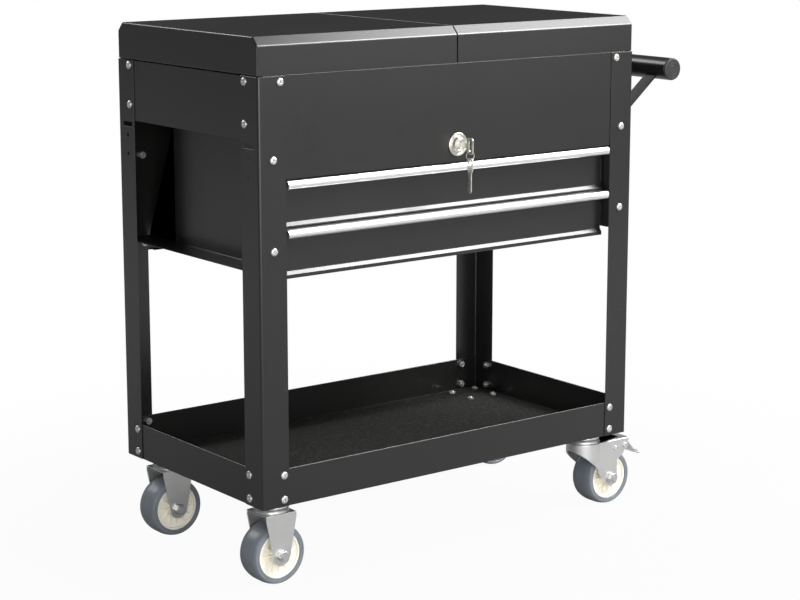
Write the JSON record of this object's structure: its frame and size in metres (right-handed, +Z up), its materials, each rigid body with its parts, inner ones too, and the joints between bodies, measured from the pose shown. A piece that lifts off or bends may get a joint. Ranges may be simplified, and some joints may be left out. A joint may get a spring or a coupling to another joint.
{
  "type": "rolling tool cabinet",
  "caption": "Sheet-metal tool trolley with a top chest under sliding lid halves, drawers, an open bottom tray, a side push handle and casters with brakes.",
  "frame": {"origin": "middle of the whole object's outline on the floor", "axes": "+Z up, +X to the handle's end, +Y from the drawers' front to the back"},
  "size_m": [0.798, 0.424, 0.793],
  "materials": {
    "black_gloss": "gloss black powder coat",
    "chrome": "polished",
    "zinc": "zinc plated steel",
    "mat_rubber": "ribbed mat",
    "hub_plastic": "ivory nylon",
    "tyre_grey": "grey elastomer",
    "black_plastic": "satin black"
  },
  "bodies": {
    "cabinet": {"leg_front_left": "black_gloss", "leg_front_right": "black_gloss", "leg_rear_left": "black_gloss", "leg_rear_right": "black_gloss", "shelf_tray": "black_gloss", "shelf_mat": "mat_rubber", "front_panel": "black_gloss", "back_panel": "black_gloss", "side_panel_left": "black_gloss", "side_panel_right": "black_gloss", "chest_floor": "black_gloss", "drawer_housing_left": "black_gloss", "drawer_housing_right": "black_gloss", "lid_rails": "zinc", "slide_outer_members": "zinc", "frame_bolts": "zinc", "caster_bolts": "zinc", "nuts": "zinc", "caster_plates": "zinc", "rigid_fork_front": "zinc", "rigid_fork_rear": "zinc", "rigid_axles": "zinc", "lock_body": "chrome", "handle_bar": "black_gloss", "handle_end_caps": "black_plastic", "handle_bracket_front": "black_gloss", "handle_bracket_rear": "black_gloss"},
    "lid_left": {"lid_left": "black_gloss", "lid_left_runners": "zinc"},
    "lid_right": {"lid_right": "black_gloss", "lid_right_runners": "zinc"},
    "lock_plug": {"lock_plug": "chrome", "lock_cam": "zinc"},
    "key": {"key": "chrome"},
    "key_ring": {"key_ring": "chrome"},
    "spare_key": {"spare_key": "chrome"},
    "drawer_upper": {"drawer_upper_box": "black_gloss", "drawer_upper_front": "black_gloss", "drawer_upper_trim": "chrome", "drawer_upper_slide_inner": "zinc"},
    "drawer_upper_middle": {"drawer_upper_slide_middle": "zinc"},
    "drawer_lower": {"drawer_lower_box": "black_gloss", "drawer_lower_front": "black_gloss", "drawer_lower_trim": "chrome", "drawer_lower_slide_inner": "zinc"},
    "drawer_lower_middle": {"drawer_lower_slide_middle": "zinc"},
    "rigid_wheel_front": {"rigid_wheel_front_hub": "hub_plastic", "rigid_wheel_front_tyre": "tyre_grey"},
    "caster_front": {"swivel_fork_front": "zinc", "swivel_axle_front": "zinc"},
    "swivel_wheel_front": {"swivel_wheel_front_hub": "hub_plastic", "swivel_wheel_front_tyre": "tyre_grey"},
    "brake_pedal_front": {"brake_pedal_front": "zinc"},
    "rigid_wheel_rear": {"rigid_wheel_rear_hub": "hub_plastic", "rigid_wheel_rear_tyre": "tyre_grey"},
    "caster_rear": {"swivel_fork_rear": "zinc", "swivel_axle_rear": "zinc"},
    "swivel_wheel_rear": {"swivel_wheel_rear_hub": "hub_plastic", "swivel_wheel_rear_tyre": "tyre_grey"},
    "brake_pedal_rear": {"brake_pedal_rear": "zinc"}
  },
  "joints": [
    {"name": "lid_left_slide", "type": "slide", "parent": "cabinet", "child": "lid_left", "axis": [-1, 0, 0], "range_m": [0, 0.23]},
    {"name": "lid_right_slide", "type": "slide", "parent": "cabinet", "child": "lid_right", "axis": [1, 0, 0], "range_m": [0, 0.23]},
    {"name": "lock_turn", "type": "hinge", "parent": "cabinet", "child": "lock_plug", "pos_m": [-0.04605, -0.177, 0.6201], "axis": [0, 1, 0], "range_deg": [0, 90]},
    {"name": "key_pull", "type": "slide", "parent": "lock_plug", "child": "key", "axis": [0, -1, 0], "range_m": [0, 0.03]},
    {"name": "ring_swing", "type": "hinge", "parent": "key", "child": "key_ring", "pos_m": [-0.04605, -0.2055, 0.6131], "axis": [1, 0, 0], "range_deg": [-25, 15]},
    {"name": "spare_key_swing", "type": "hinge", "parent": "key_ring", "child": "spare_key", "pos_m": [-0.04605, -0.2055, 0.5987], "axis": [1, 0, 0], "range_deg": [-20, 8]},
    {"name": "drawer_upper_slide", "type": "slide", "parent": "cabinet", "child": "drawer_upper", "axis": [0, -1, 0], "range_m": [0, 0.25], "deforming": ["spare_key"]},
    {"name": "drawer_upper_middle_slide", "type": "slide", "parent": "cabinet", "child": "drawer_upper_middle", "axis": [0, -1, 0], "range_m": [0, 0.126]},
    {"name": "drawer_lower_slide", "type": "slide", "parent": "cabinet", "child": "drawer_lower", "axis": [0, -1, 0], "range_m": [0, 0.25]},
    {"name": "drawer_lower_middle_slide", "type": "slide", "parent": "cabinet", "child": "drawer_lower_middle", "axis": [0, -1, 0], "range_m": [0, 0.126]},
    {"name": "rigid_wheel_front_spin", "type": "hinge", "parent": "cabinet", "child": "rigid_wheel_front", "pos_m": [-0.35005, -0.129, 0.0453], "axis": [0, 1, 0], "continuous": true},
    {"name": "caster_front_swivel", "type": "hinge", "parent": "cabinet", "child": "caster_front", "pos_m": [0.25795, -0.129, 0.115], "axis": [0, 0, 1], "continuous": true},
    {"name": "swivel_wheel_front_spin", "type": "hinge", "parent": "caster_front", "child": "swivel_wheel_front", "pos_m": [0.29645, -0.129, 0.0453], "axis": [0, 1, 0], "continuous": true},
    {"name": "brake_pedal_front_press", "type": "hinge", "parent": "caster_front", "child": "brake_pedal_front", "pos_m": [0.32595, -0.129, 0.095], "axis": [0, 1, 0], "range_deg": [0, 8]},
    {"name": "rigid_wheel_rear_spin", "type": "hinge", "parent": "cabinet", "child": "rigid_wheel_rear", "pos_m": [-0.35005, 0.154, 0.0453], "axis": [0, 1, 0], "continuous": true},
    {"name": "caster_rear_swivel", "type": "hinge", "parent": "cabinet", "child": "caster_rear", "pos_m": [0.25795, 0.154, 0.115], "axis": [0, 0, 1], "continuous": true},
    {"name": "swivel_wheel_rear_spin", "type": "hinge", "parent": "caster_rear", "child": "swivel_wheel_rear", "pos_m": [0.29645, 0.154, 0.0453], "axis": [0, 1, 0], "continuous": true},
    {"name": "brake_pedal_rear_press", "type": "hinge", "parent": "caster_rear", "child": "brake_pedal_rear", "pos_m": [0.32595, 0.154, 0.095], "axis": [0, 1, 0], "range_deg": [0, 8]}
  ],
  "couplings": [
    {"joint": "drawer_upper_middle_slide", "follows": "drawer_upper_slide", "ratio": 0.5},
    {"joint": "drawer_lower_middle_slide", "follows": "drawer_lower_slide", "ratio": 0.5}
  ]
}
